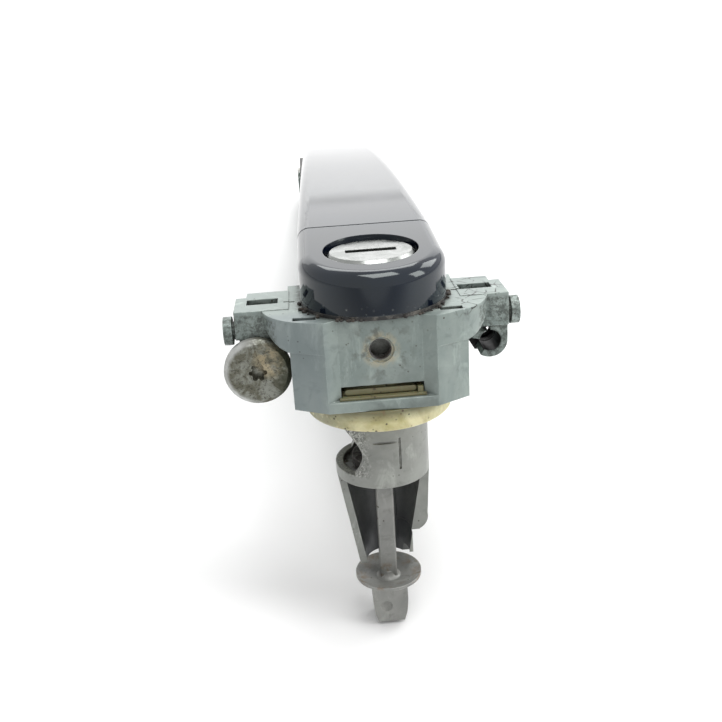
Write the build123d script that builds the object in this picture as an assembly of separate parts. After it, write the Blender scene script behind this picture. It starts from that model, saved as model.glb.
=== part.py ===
import os
from math import atan2, cos, degrees, hypot, pi, radians, sin, tan

from build123d import *

# Outer door handle with its lock, in millimetres.
# X runs across the handle, Y along the grip from the lock end to the hinge end,
# and Z out of the door. The origin lies on the lock's axis, in the plane of the
# bracket's top, which is the plane of the door skin.

# Clearances
PIN_FIT = 0.05
BODY_GAP = 0.3
SEAM_GAP = 0.8

# Painted outer form, shared by the lock cap and the grip
FORM_HALF_WIDTH = 15.0
NOSE_Y = -15.6
SEAM_Y = 17.4
TOP_ON_LOCK = 10.3
TOP_SLOPE = 3.9
FORM_EDGE_RADIUS = 2.8
FORM_EDGE_LEAST = 0.3
CAP_WALL = 2.0
TONGUE_HALF = 5.0
TONGUE_END_Z = -7.0
GRIP_WALL = 2.2

# Grip
GRIP_FAR_Y = 199.0
GRIP_FAR_HALF = 11.5
GRIP_CREST_Y = 85.0
GRIP_CREST_Z = 13.2
GRIP_FAR_Z = 7.0
GRIP_SHOULDER = 10.0
PARTING_Z = 6.5
FINGER_GAP_Z = 3.2
FINGER_SPAN = (60.0, 150.0)
FOOT_SLOPE = 8.0
LINER_SKIN = 1.6
RIB_HEIGHT = 1.4
RIB_WALL = 1.2
RIB_FIT = 0.3
RIB_END_Y = 150.0
GRIP_SCREW_Y = (66.0, 105.0, 144.0)
GRIP_SCREW_RADIUS = 1.25
GRIP_SCREW_HEAD = (2.5, 1.4)
GRIP_SCREW_TIP_Z = 8.4
BOSS_RADIUS = 3.0

# Rubber pads on the bracket
GASKET_THICK = 0.8
GASKET_RIM = 2.3
FRONT_GASKET_START = 157.0
BUFFER_SPAN = (20.0, 27.0)

# Bracket block
BLOCK_HALF = 17.8
BLOCK_DEPTH = 19.0
BLOCK_BACK_Y = 13.0
FACET_HALF = 11.0
FACET_FRONT_Y = -15.0
FACET_BACK_Y = -11.3
RECESS_HALF = 8.3
RECESS_Y = -13.4
SLOT_TOP_Z = -14.1
LIP_TOP_Z = -16.8
FRONT_HOLE_Z = -6.8
FRONT_HOLE_RADIUS = 2.1
FRONT_HOLE_SINK = (2.7, 0.5)
THREAD_END_Y = -11.3
POCKET = (12.2, 16.7, -12.0, -10.1, 1.8)

# Gussets and wings
GUSSET_HALF = 22.9
GUSSET_DEPTH = 6.5
GUSSET_BULGE = (20.6, -9.3)
WING_HALF = (27.5, 28.7)
WING_FRONT_Y = -4.0
WING_BACK_Y = 9.2
WING_DEPTH = (6.9, 5.8)
WING_SEAT_START = 17.5
WING_SEAT_RISE = 0.1
WEB_END = 20.0
WEB_START_Y = 7.2
WEB_BOTTOM_Z = -13.4
WING_NOTCH = (2.2, 3.3)
WING_SLOT_X = ((18.1, 24.9), (19.8, 26.3))
WING_SLOT_Y = (0.5, 4.2)
WING_SLIT = (16.3, 18.6, 0.7, 1.3, 1.0)
TRUNNION_YZ = (-1.0, -4.6)
TRUNNION_RADIUS = 1.9
TRUNNION_LENGTH = 0.7
TRUNNION_FLANGE = (2.95, 1.8)

# Screw hooks under the wings and the clamp screw
HOOK_XZ = (24.8, -12.3)
HOOK_BORE = 2.35
HOOK_MOUTH = (168.0, 236.0)
HOOK_RADIUS = 3.8
HOOK_SPAN = (2.0, 8.0)
SCREW_HEAD_RADIUS = 7.0
SCREW_HEAD_THICK = 2.2
SCREW_SHOULDER_RADIUS = 4.3
SCREW_SHANK_RADIUS = 2.25
SCREW_BEVEL = 0.9
DRIVE_RADIUS = 1.9
DRIVE_DEPTH = 1.6
NUT_FLATS = 8.0
NUT_THICK = 4.0

# Bracket channel behind the block
CHANNEL_HALF = 14.0
CHANNEL_WALL = 2.4
CHANNEL_START_Y = 10.0
CHANNEL_END_Y = 205.0
DEEP_Z = -30.0
TROUGH_Z = -21.0
TROUGH_SPAN = (64.0, 156.0)
TROUGH_SLOPE = 7.0
NEAR_DEEP_Y = 30.0
FAR_DEEP_Y = 160.0
HINGE_END_Z = -15.0
CHANNEL_CORNER = 5.0
SIDE_RIB = (1.0, 1.6)
SIDE_RIB_Y = (73.0, 84.0, 95.0, 106.0, 117.0, 128.0, 139.0)
BAY_RIB_Y = (22.0, 40.0, 60.0)
FAR_RIB_Y = (168.0, 180.0)
KEEL_RIB = (8.5, 1.4, 1.2)
SIDE_WINDOW = (31.0, -13.5, 12.0, 7.0)
FLOOR_WINDOW = (21.0, 62.0)
FLOOR_WINDOW_HALF = 10.0
FLOOR_HOLE_Y = (84.0, 105.0, 126.0)
FLOOR_HOLE = (12.0, 8.0)
EAR_LENGTH = 10.0
EAR_HALF = 7.0
EAR_THICK = 3.0
EAR_TOP_Z = -3.0
EAR_HOLE_RADIUS = 2.6

# Lock
LOCK_FACE_RADIUS = 9.0
LOCK_FACE_TOP = 10.0
LOCK_FACE_THICK = 1.7
LOCK_FACE_BEVEL = 0.6
LOCK_HOLE_RADIUS = 9.8
KEY_SLOT = (10.4, 2.4)
KEY_DEPTH = 26.0
PLUG_RADIUS = 8.6
PLUG_NECK_RADIUS = 4.2
PLUG_FLANGE = (6.6, 2.0)
PLUG_NECK_Z = -22.0
PLUG_END_Z = -37.6
HOUSING_RADIUS = 11.0
HOUSING_SHOULDER_Z = -14.0
HOUSING_NECK = (9.5, 6.4)
SCREW_SEAT = (2.6, 1.4)
BARREL_RADIUS = 10.3
BARREL_END_Z = -39.3
COLLAR_RADIUS = 15.6
COLLAR_TOP_RADIUS = 12.2
COLLAR_END_Z = -23.7
COLLAR_WALL = 1.2
COLLAR_TAB_WALL = 0.3
COLLAR_BAR = (14.4, 1.15, -15.5)
COLLAR_LEDGE = (8.7, 0.9, 0.45)
LUG_RADIUS = 11.2
LUG_THICK = 1.6
LUG_WIDTH = 6.0
WINDOW_SILL_Z = -36.9
GUARD_WALL = 1.6
GUARD_END_RADIUS = 6.4
GUARD_END_Z = -63.4
GUARD_CUT_Y = -1.0
GUARD_STEP = (5.9, -55.6)
SKIRT_BEND = (9.6, -51.6)
SKIRT_FOOT_RADIUS = 7.4
GUARD_TIP_Z = -61.5
CLIP_INNER_RADIUS = 5.6
CLIP_GROOVE = 0.7
CLIP_THICK = 0.9

# Tail rod that turns with the plug
TAIL_BAR = (3.9, 3.0)
DISH_RADIUS = 7.6
DISH_Z = -66.3
DISH_THICK = 1.9
DISH_HOLLOW = 1.5
TAIL_FLARE = (3.3, 1.8)
TIP_SIZE = (8.2, 5.0)
TIP_END_Z = -79.0

# Lever, its pin and its spring
LEVER_YZ = (50.0, -10.0)
LEVER_PIN_RADIUS = 2.5
LEVER_REACH = 26.0
LEVER_REST_ANGLE = 26.0
LEVER_HALF = 4.4
LEVER_HUB = (5.2, 5.4)
LEVER_NOSE_RADIUS = 2.2
LEVER_ROOT_RADIUS = 3.6
OUTPUT_REACH = 16.0
OUTPUT_HALF = 2.5
OUTPUT_RADIUS = 3.2
CLIP_PIN_RADIUS = 1.8
ROD_CLIP_RADIUS = 3.4
ROD_CLIP_LENGTH = 5.2
ROD_HOLE_RADIUS = 1.2
STUB_REACH = (10.5, 2.7)
STUB_HALF = 3.0
STUB_RADIUS = 3.0
WEIGHT_HALF = 9.0
WEIGHT_SPAN = (57.4, 66.0, -12.0, -3.0)
WEIGHT_BRIDGE = 1.5
RIVET_RADIUS = 1.5
SPRING_RADIUS = 3.4
SPRING_WIRE = 0.55
SPRING_TURNS = 3
SPRING_PITCH = 1.35
SPRING_LEG = 15.0

# Pull stirrup and hinge arm under the grip
ARM_PLATE_HALF = 9.6
ARM_PLATE_THICK = 2.0
STIRRUP_SPAN = (22.0, 44.0)
CHEEK_SPAN = (22.4, 27.4)
CHEEK_INNER = 6.4
CHEEK_OUTER = 9.0
LIFT_GAP = 0.7
TOE_THICK = 2.4
ARM_SCREW_X = 5.6
ARM_SCREW_RADIUS = 1.5
ARM_SCREW_HEAD = (2.7, 1.7)
ARM_SCREW_GRIP = 4.4
STIRRUP_SCREW_Y = 38.5
HINGE_YZ = (190.0, -5.5)
HINGE_PIN_RADIUS = 2.5
HINGE_EYE_RADIUS = 4.9
HINGE_EYE_HALF = 5.0
HINGE_PLATE_SPAN = (162.0, 194.0)
HINGE_SCREW_Y = (168.0,)
PIN_HEAD = (4.0, 1.2)

# Values that follow from those above
GASKET_TOP = GASKET_THICK
FOOT_Z = GASKET_THICK + BODY_GAP
GRIP_NEAR_Y = SEAM_Y + SEAM_GAP
CHANNEL_INNER = CHANNEL_HALF - CHANNEL_WALL
LEVER_NOSE = (
    LEVER_YZ[0] - LEVER_REACH * cos(radians(LEVER_REST_ANGLE)),
    LEVER_YZ[1] - LEVER_REACH * sin(radians(LEVER_REST_ANGLE)),
)
LEVER_TAIL = (LEVER_YZ[0], LEVER_YZ[1] - OUTPUT_REACH)
LEVER_STUB = (LEVER_YZ[0] + STUB_REACH[0], LEVER_YZ[1] + STUB_REACH[1])
TOE_TOP_Z = LEVER_NOSE[1] - LEVER_NOSE_RADIUS - LIFT_GAP
PLATE_BOTTOM_Z = FOOT_Z - ARM_PLATE_THICK


def box(x0, x1, y0, y1, z0, z1):
    size = (x1 - x0, y1 - y0, z1 - z0)
    centre = ((x0 + x1) / 2, (y0 + y1) / 2, (z0 + z1) / 2)
    return Pos(*centre) * Box(*size)


def both_sides(shape):
    return shape + mirror(shape, about=Plane.YZ)


def upright(radius, z0, z1, x=0.0, y=0.0):
    return Pos(x, y, (z0 + z1) / 2) * Cylinder(radius, z1 - z0)


def cross_rod(radius, y, z, x0, x1):
    place = Pos((x0 + x1) / 2, y, z) * Rot(0, 90, 0)
    return place * Cylinder(radius, x1 - x0)


def long_rod(radius, x, z, y0, y1):
    place = Pos(x, (y0 + y1) / 2, z) * Rot(90, 0, 0)
    return place * Cylinder(radius, y1 - y0)


def plan_prism(sketch, z0, z1):
    return extrude(Plane.XY.offset(z0) * sketch, amount=z1 - z0)


def side_prism(sketch, x0, x1):
    return extrude(Plane.YZ.offset(x0) * sketch, amount=x1 - x0)


def front_prism(sketch, y0, y1):
    return extrude(Plane.XZ.offset(-y0) * sketch, amount=y0 - y1)


def outline(points, radius=0.0):
    face = make_face(Polyline(*points, close=True))
    if radius > 0:
        face = fillet(face.vertices(), radius)
    return face


def link(start, end, radius_start, radius_end):
    """Flat link: two round ends and the tangent web between them."""
    reach = hypot(end[0] - start[0], end[1] - start[1])
    heading = degrees(atan2(end[1] - start[1], end[0] - start[0]))
    web = outline([(0, -radius_start), (reach, -radius_end), (reach, radius_end), (0, radius_start)])
    flat = Circle(radius_start) + Pos(reach, 0) * Circle(radius_end) + web
    return Pos(*start) * Rot(0, 0, heading) * flat


# Painted outer form
def edge_radius(inset):
    """Rounding of the form's upper edges, less where the form is set in."""
    return max(FORM_EDGE_RADIUS - inset, FORM_EDGE_LEAST)


def cap_plan(inset):
    half = FORM_HALF_WIDTH - inset
    nose_centre = NOSE_Y + FORM_HALF_WIDTH
    end = SEAM_Y - inset
    sides = Pos(0, (nose_centre + end) / 2) * Rectangle(2 * half, end - nose_centre)
    return Pos(0, nose_centre) * Circle(half) + sides


def cap_form(inset, bottom):
    top = TOP_ON_LOCK - inset
    rise = tan(radians(TOP_SLOPE))
    near = NOSE_Y - 5
    far = SEAM_Y + 5
    side = outline([(near, bottom), (far, bottom), (far, top + far * rise), (near, top + near * rise)])
    body = plan_prism(cap_plan(inset), bottom, top + 10) & side_prism(side, -20, 20)
    rim = body.edges().filter_by(lambda e: e.center().Z > top - 3 and e.center().Y < SEAM_Y - inset - 1)
    rim = rim.filter_by(lambda e: abs(e.tangent_at(0.5).Z) < 0.9)
    return fillet(rim, edge_radius(inset))


def seam_top_z():
    return TOP_ON_LOCK + SEAM_Y * tan(radians(TOP_SLOPE))


def grip_form(inset):
    near_half = FORM_HALF_WIDTH - inset
    far_half = GRIP_FAR_HALF - inset
    near = GRIP_NEAR_Y + inset
    shoulder = GRIP_FAR_Y - GRIP_SHOULDER
    far = GRIP_FAR_Y - inset
    plan_edge = Line((-near_half, near), (near_half, near)) + Line((near_half, near), (far_half, shoulder))
    plan_edge += ThreePointArc((far_half, shoulder), (0, far), (-far_half, shoulder))
    plan_edge += Line((-far_half, shoulder), (-near_half, near))
    top_start = (near, seam_top_z() - inset)
    top_mid = (GRIP_CREST_Y, GRIP_CREST_Z - inset)
    top_end = (far, GRIP_FAR_Z - inset)
    side_edge = ThreePointArc(top_start, top_mid, top_end) + Line(top_end, (far, FOOT_Z))
    side_edge += Line((far, FOOT_Z), (near, FOOT_Z)) + Line((near, FOOT_Z), top_start)
    body = plan_prism(make_face(plan_edge), FOOT_Z, 20) & side_prism(make_face(side_edge), -20, 20)
    long_edges = body.edges().filter_by(lambda e: e.center().Z > FOOT_Z + 2 and e.center().Y > near + 2)
    long_edges = long_edges.filter_by(lambda e: abs(e.tangent_at(0.5).Z) < 0.9)
    return fillet(long_edges, edge_radius(inset))


def below_parting(low, high):
    return box(-20, 20, GRIP_NEAR_Y - 5, GRIP_FAR_Y + 5, low, high)


def make_lock_cap():
    shell = cap_form(0, GASKET_TOP) - cap_form(CAP_WALL, GASKET_TOP - 1)
    shell -= upright(LOCK_HOLE_RADIUS, 0, 20)
    start = BLOCK_BACK_Y + PIN_FIT
    tongue = box(-TONGUE_HALF, TONGUE_HALF, start, SEAM_Y - GASKET_RIM - PIN_FIT, TONGUE_END_Z, GASKET_TOP + 3)
    root = box(-TONGUE_HALF, TONGUE_HALF, start, SEAM_Y - CAP_WALL + 0.5, GASKET_TOP, GASKET_TOP + 3)
    return shell + tongue + root


def make_grip_shell():
    shell = (grip_form(0) - grip_form(GRIP_WALL)) & below_parting(PARTING_Z, 20)
    bosses = Part()
    for y in GRIP_SCREW_Y:
        boss = upright(BOSS_RADIUS, FINGER_GAP_Z + LINER_SKIN + 1.0, 20, y=y) & grip_form(GRIP_WALL / 2)
        bosses += boss
    shell += bosses
    for y in GRIP_SCREW_Y:
        shell -= upright(GRIP_SCREW_RADIUS + PIN_FIT, 0, GRIP_SCREW_TIP_Z + 0.2, y=y)
    return shell


def underside_cut():
    y0, y1 = FINGER_SPAN
    far_ramp = HINGE_YZ[0]
    points = [
        (y0 - FOOT_SLOPE, FOOT_Z),
        (y0, FINGER_GAP_Z),
        (y1, FINGER_GAP_Z),
        (y1 + FOOT_SLOPE, FOOT_Z),
        (far_ramp, FOOT_Z),
        (far_ramp + 9, FOOT_Z + 3.6),
        (far_ramp + 20, FOOT_Z + 3.6),
        (far_ramp + 20, FOOT_Z - 2),
        (y0 - FOOT_SLOPE, FOOT_Z - 2),
    ]
    return side_prism(outline(points), -20, 20)


def make_grip_liner():
    tray = grip_form(0) & below_parting(0, PARTING_Z)
    hollow = box(-20, 20, FINGER_SPAN[0] - FOOT_SLOPE, FINGER_SPAN[1] + FOOT_SLOPE,
                 FINGER_GAP_Z + LINER_SKIN, PARTING_Z)
    tray -= grip_form(GRIP_WALL) & hollow
    rib_inset = GRIP_WALL + RIB_FIT
    rib = grip_form(rib_inset) - grip_form(rib_inset + RIB_WALL)
    tray += rib & box(-20, 20, GRIP_NEAR_Y, RIB_END_Y, PARTING_Z - 1, PARTING_Z + RIB_HEIGHT)
    tray -= underside_cut()
    seat = FINGER_GAP_Z + LINER_SKIN + 1.0
    for y in GRIP_SCREW_Y:
        tray += upright(BOSS_RADIUS + 1.2, FINGER_GAP_Z, seat, y=y)
        tray -= upright(GRIP_SCREW_RADIUS + 0.3, 0, 20, y=y)
        tray -= upright(GRIP_SCREW_HEAD[0] + 0.3, 0, FINGER_GAP_Z + GRIP_SCREW_HEAD[1] + 0.2, y=y)
    for x, y in arm_screw_places():
        tray -= upright(ARM_SCREW_RADIUS + PIN_FIT, 0, FOOT_Z + ARM_SCREW_GRIP, x=x, y=y)
    return tray


def screw_up(radius, head, seat_z, tip_z, x, y):
    head_radius, head_thick = head
    body = upright(radius, seat_z - 0.2, tip_z, x=x, y=y)
    cap = upright(head_radius, seat_z - head_thick, seat_z, x=x, y=y)
    cap = chamfer(cap.faces().sort_by(Axis.Z)[0].edges(), 0.4)
    drive = Pos(x, y, seat_z - head_thick) * Box(0.7, head_radius * 1.3, 1.0)
    return body + cap - drive - Pos(x, y, seat_z - head_thick) * Box(head_radius * 1.3, 0.7, 1.0)


def make_grip_screws():
    seat = FINGER_GAP_Z + GRIP_SCREW_HEAD[1] + 0.2
    return [screw_up(GRIP_SCREW_RADIUS, GRIP_SCREW_HEAD, seat, GRIP_SCREW_TIP_Z, 0, y) for y in GRIP_SCREW_Y]


def arm_screw_places():
    places = [(side * ARM_SCREW_X, STIRRUP_SCREW_Y) for side in (-1, 1)]
    places += [(side * ARM_SCREW_X, y) for y in HINGE_SCREW_Y for side in (-1, 1)]
    return places


def make_arm_screws():
    tip = FOOT_Z + ARM_SCREW_GRIP - 0.4
    return [screw_up(ARM_SCREW_RADIUS, ARM_SCREW_HEAD, PLATE_BOTTOM_Z, tip, x, y)
            for x, y in arm_screw_places()]


# Pieces that hang under the grip
def make_pull_stirrup():
    plate = box(-ARM_PLATE_HALF, ARM_PLATE_HALF, *STIRRUP_SPAN, PLATE_BOTTOM_Z, FOOT_Z)
    plate = fillet(plate.edges().filter_by(Axis.Z), 3)
    bottom = TOE_TOP_Z - TOE_THICK
    cheek = box(CHEEK_INNER, CHEEK_OUTER, *CHEEK_SPAN, bottom, PLATE_BOTTOM_Z)
    toe = box(-CHEEK_OUTER, CHEEK_OUTER, *CHEEK_SPAN, bottom, TOE_TOP_Z)
    stirrup = plate + both_sides(cheek) + toe
    for x, y in arm_screw_places()[:2]:
        stirrup -= upright(ARM_SCREW_RADIUS + PIN_FIT, -10, 10, x=x, y=y)
    return stirrup


def make_hinge_arm():
    y0, y1 = HINGE_PLATE_SPAN
    plate = box(-ARM_PLATE_HALF, ARM_PLATE_HALF, y0, y1, PLATE_BOTTOM_Z, FOOT_Z)
    plate = plate - side_prism(outline([(HINGE_YZ[0], FOOT_Z), (y1 + 1, FOOT_Z), (y1 + 1, 0)]), -20, 20)
    web = outline([
        (HINGE_YZ[0] - 16, PLATE_BOTTOM_Z),
        (y1 - 0.5, PLATE_BOTTOM_Z),
        (HINGE_YZ[0] + HINGE_EYE_RADIUS, HINGE_YZ[1]),
        (HINGE_YZ[0] - 3, HINGE_YZ[1] - 3.5),
    ])
    arm = side_prism(web + Pos(*HINGE_YZ) * Circle(HINGE_EYE_RADIUS), -HINGE_EYE_HALF, HINGE_EYE_HALF)
    arm = plate + arm - cross_rod(HINGE_PIN_RADIUS + PIN_FIT, *HINGE_YZ, -20, 20)
    for x, y in arm_screw_places()[2:]:
        arm -= upright(ARM_SCREW_RADIUS + PIN_FIT, -10, 10, x=x, y=y)
    return arm


def make_cross_pin(radius, place):
    shank = cross_rod(radius, *place, -CHANNEL_HALF, CHANNEL_HALF)
    head = cross_rod(PIN_HEAD[0], *place, -CHANNEL_HALF - PIN_HEAD[1], -CHANNEL_HALF)
    return shank + chamfer(head.faces().sort_by(Axis.X)[0].edges(), 0.4)


# Lever set
def make_bell_crank():
    nose = side_prism(link(LEVER_YZ, LEVER_NOSE, LEVER_ROOT_RADIUS, LEVER_NOSE_RADIUS), -LEVER_HALF, LEVER_HALF)
    tail = side_prism(link(LEVER_YZ, LEVER_TAIL, LEVER_ROOT_RADIUS, OUTPUT_RADIUS), -OUTPUT_HALF, OUTPUT_HALF)
    stub = side_prism(link(LEVER_YZ, LEVER_STUB, LEVER_ROOT_RADIUS, STUB_RADIUS), -STUB_HALF, STUB_HALF)
    hub_radius, hub_half = LEVER_HUB
    crank = nose + tail + stub + cross_rod(hub_radius, *LEVER_YZ, -hub_half, hub_half)
    crank -= cross_rod(LEVER_PIN_RADIUS + PIN_FIT, *LEVER_YZ, -20, 20)
    crank -= cross_rod(CLIP_PIN_RADIUS + PIN_FIT, *LEVER_TAIL, -20, 20)
    return crank - cross_rod(RIVET_RADIUS + PIN_FIT, *LEVER_STUB, -20, 20)


def make_counterweight():
    y0, y1, z0, z1 = WEIGHT_SPAN
    weight = box(-WEIGHT_HALF, WEIGHT_HALF, y0, y1, z0, z1)
    weight = fillet(weight.edges().filter_by(Axis.X), 1.5)
    slot_half = STUB_HALF + 0.1
    weight -= box(-slot_half, slot_half, y0 - 1, y1 - WEIGHT_BRIDGE, z0 - 1, z1 + 1)
    return weight - cross_rod(RIVET_RADIUS + PIN_FIT, *LEVER_STUB, -20, 20)


def make_weight_rivet():
    rivet = cross_rod(RIVET_RADIUS, *LEVER_STUB, -WEIGHT_HALF - 0.8, WEIGHT_HALF)
    return rivet + cross_rod(RIVET_RADIUS + 1, *LEVER_STUB, -WEIGHT_HALF - 0.8, -WEIGHT_HALF)


def make_rod_clip():
    pin = cross_rod(CLIP_PIN_RADIUS, *LEVER_TAIL, -OUTPUT_HALF - 0.6, OUTPUT_HALF + 1)
    start = OUTPUT_HALF
    body = cross_rod(ROD_CLIP_RADIUS, *LEVER_TAIL, start, start + ROD_CLIP_LENGTH)
    body = chamfer(body.faces().sort_by(Axis.X)[-1].edges(), 0.5)
    middle = start + ROD_CLIP_LENGTH / 2
    return pin + body - upright(ROD_HOLE_RADIUS, -60, 0, x=middle + 0.6, y=LEVER_TAIL[0])


def make_lever_spring():
    height = SPRING_TURNS * SPRING_PITCH
    start_x = LEVER_HUB[1] + SPRING_WIRE + BODY_GAP
    coil_path = Helix(pitch=SPRING_PITCH, height=height, radius=SPRING_RADIUS, lefthand=True)
    wire = Plane(origin=coil_path @ 0, z_dir=coil_path % 0) * Circle(SPRING_WIRE)
    coil = sweep(wire, path=coil_path)
    leg = Pos(SPRING_RADIUS, 0, height) * Rot(90, 0, 0) * Cylinder(
        SPRING_WIRE, SPRING_LEG, align=(Align.CENTER, Align.CENTER, Align.MIN))
    coil = coil + leg
    return Pos(start_x, *LEVER_YZ) * Rot(0, 90, 0) * coil


# Lock set
def make_lock_face():
    face = upright(LOCK_FACE_RADIUS, LOCK_FACE_TOP - LOCK_FACE_THICK, LOCK_FACE_TOP)
    face = chamfer(face.faces().sort_by(Axis.Z)[-1].edges(), LOCK_FACE_BEVEL)
    return face - Pos(0, 0, LOCK_FACE_TOP) * Box(*KEY_SLOT, 2 * LOCK_FACE_THICK + 1)


def make_lock_plug():
    top = LOCK_FACE_TOP - LOCK_FACE_THICK
    flange_radius, flange_thick = PLUG_FLANGE
    plug = upright(PLUG_RADIUS, PLUG_NECK_Z, top) + upright(PLUG_NECK_RADIUS, PLUG_END_Z, PLUG_NECK_Z)
    plug += upright(flange_radius, PLUG_END_Z, PLUG_END_Z + flange_thick)
    keyway = Pos(0, 0, top - KEY_DEPTH / 2) * Box(*KEY_SLOT, KEY_DEPTH)
    return plug - keyway


def cam_window():
    """Slanting opening in the left front of the barrel, as seen from the front."""
    top = COLLAR_END_Z - 1.0
    edge = Spline((-9.9, top), (-6.4, -28.4), (-4.7, -31.8), (-5.4, -35.2), (-6.4, WINDOW_SILL_Z))
    rest = Polyline((-6.4, WINDOW_SILL_Z), (-14, WINDOW_SILL_Z), (-14, top), (-9.9, top))
    return front_prism(make_face(edge + rest), -14, 14)


def tail_guard():
    """Half cone that shields the tail rod, open towards the lock end."""
    taper = [
        (BARREL_RADIUS, BARREL_END_Z),
        (GUARD_END_RADIUS, GUARD_END_Z),
        (GUARD_END_RADIUS - GUARD_WALL, GUARD_END_Z),
        (BARREL_RADIUS - GUARD_WALL, BARREL_END_Z),
    ]
    cone = revolve(Plane.XZ * outline(taper), Axis.Z)
    step_x, step_z = GUARD_STEP
    guard = cone - box(step_x, 20, -20, 20, GUARD_END_Z - 1, step_z) + guard_skirt()
    guard &= box(-20, 20, GUARD_CUT_Y, 20, GUARD_END_Z - 1, BARREL_END_Z)
    return guard - box(3, 20, -20, 3, GUARD_END_Z - 1, GUARD_TIP_Z)


def guard_skirt():
    """Wider wall on the guard's right side, with a rounded foot."""
    top = (BARREL_RADIUS, BARREL_END_Z)
    bend_radius, bend_z = SKIRT_BEND
    step_z = GUARD_STEP[1]
    foot = (SKIRT_FOOT_RADIUS, step_z)
    knee = (bend_radius - 0.5, (bend_z + step_z) / 2 - 0.6)
    edge = Line(top, SKIRT_BEND) + ThreePointArc(SKIRT_BEND, knee, foot)
    inner = (SKIRT_FOOT_RADIUS - GUARD_WALL, step_z)
    edge += Polyline(foot, inner, (BARREL_RADIUS - GUARD_WALL, BARREL_END_Z), top)
    return revolve(Plane.XZ * make_face(edge), Axis.Z) & box(3, 20, -20, 20, step_z, BARREL_END_Z)


def make_lock_housing():
    top = LOCK_FACE_TOP - LOCK_FACE_THICK - BODY_GAP
    neck_radius, neck_z = HOUSING_NECK
    body = upright(HOUSING_RADIUS, HOUSING_SHOULDER_Z, neck_z) + upright(neck_radius, neck_z, top)
    body += upright(BARREL_RADIUS, BARREL_END_Z, HOUSING_SHOULDER_Z)
    lug_top = COLLAR_END_Z - 0.1
    lug = upright(LUG_RADIUS, lug_top - LUG_THICK, lug_top) & box(0, 20, -LUG_WIDTH / 2, LUG_WIDTH / 2, -60, 0)
    body += lug + tail_guard()
    body -= upright(PLUG_RADIUS + PIN_FIT, BARREL_END_Z - 0.01, top + 1)
    body -= upright(PLUG_RADIUS + CLIP_GROOVE, PLUG_END_Z - BODY_GAP - CLIP_THICK - 0.1, PLUG_END_Z - BODY_GAP)
    body -= cam_window()
    seat_radius, seat_depth = SCREW_SEAT
    body -= long_rod(seat_radius, 0, FRONT_HOLE_Z, -HOUSING_RADIUS - 1, seat_depth - HOUSING_RADIUS)
    groove_y = -BARREL_RADIUS
    body -= box(-2.4, 2.9, groove_y - 1, groove_y + 0.35, -28.9, -28.4)
    return body - box(2.9, 3.4, groove_y - 1, groove_y + 0.85, -35.2, -27.9)


def make_plug_clip():
    top = PLUG_END_Z - BODY_GAP - 0.05
    ring = upright(PLUG_RADIUS + CLIP_GROOVE - 0.1, top - CLIP_THICK, top)
    ring -= upright(CLIP_INNER_RADIUS, top - 5, top + 5)
    return ring - box(-1.6, 1.6, 0, 20, top - 5, top + 5)


def make_collar_ring():
    flange = upright(COLLAR_RADIUS, COLLAR_END_Z, -BLOCK_DEPTH - 0.1)
    flange = fillet(flange.faces().sort_by(Axis.Z)[0].edges(), 0.8)
    upper = upright(COLLAR_TOP_RADIUS, -BLOCK_DEPTH - 0.2, HOUSING_SHOULDER_Z - 0.1)
    reach = RECESS_Y + COLLAR_TAB_WALL
    tab_half = RECESS_HALF - 0.2
    floor_z = LIP_TOP_Z + 0.05
    width, height, bar_z = COLLAR_BAR
    tab = box(-tab_half, tab_half, reach + 1.0, -5, floor_z, bar_z)
    tab += Pos(-0.4, 0, bar_z) * front_prism(SlotOverall(width, height), reach, reach + 2)
    ledge_half, ledge_reach, ledge_thick = COLLAR_LEDGE
    tab += box(-tab_half, tab_half, reach - 1, reach + 2, floor_z, floor_z + ledge_thick)
    tab += box(-ledge_half, ledge_half, RECESS_Y - ledge_reach, RECESS_Y - 0.05, floor_z, floor_z + ledge_thick)
    tab += box(tab_half - 1.1, tab_half, RECESS_Y - 0.4, reach + 2, floor_z, bar_z + 0.5)
    return flange + upper + tab - upright(BARREL_RADIUS + 0.1, -60, 0)


def make_tail_rod():
    bar_x, bar_y = TAIL_BAR
    bar = box(-bar_x / 2, bar_x / 2, -bar_y / 2, bar_y / 2, DISH_Z - DISH_THICK, PLUG_END_Z)
    bar = chamfer(bar.edges().filter_by(Axis.Z), 0.3)
    rim_z = DISH_Z
    low_z = DISH_Z - DISH_THICK
    dish_edge = Polyline((0, low_z - 0.4), (DISH_RADIUS * 0.55, low_z - 0.4), (DISH_RADIUS, rim_z - 0.8),
                         (DISH_RADIUS, rim_z))
    dish_edge += ThreePointArc((DISH_RADIUS, rim_z), (DISH_RADIUS * 0.55, rim_z - DISH_HOLLOW * 0.75),
                               (0, rim_z - DISH_HOLLOW))
    dish_edge += Line((0, rim_z - DISH_HOLLOW), (0, low_z - 0.4))
    dish = revolve(Plane.XZ * make_face(dish_edge), Axis.Z)
    flare_radius, flare_height = TAIL_FLARE
    floor_z = rim_z - DISH_HOLLOW
    flare_edge = ThreePointArc((flare_radius, floor_z), (bar_x / 2 + 0.25, floor_z + 0.5),
                               (bar_x / 2 - 0.3, floor_z + flare_height))
    flare_edge += Polyline((bar_x / 2 - 0.3, floor_z + flare_height), (0, floor_z + flare_height),
                           (0, floor_z - 0.3), (flare_radius, floor_z - 0.3), (flare_radius, floor_z))
    flare = revolve(Plane.XZ * make_face(flare_edge), Axis.Z)
    return bar + dish + flare + tip_block()


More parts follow.
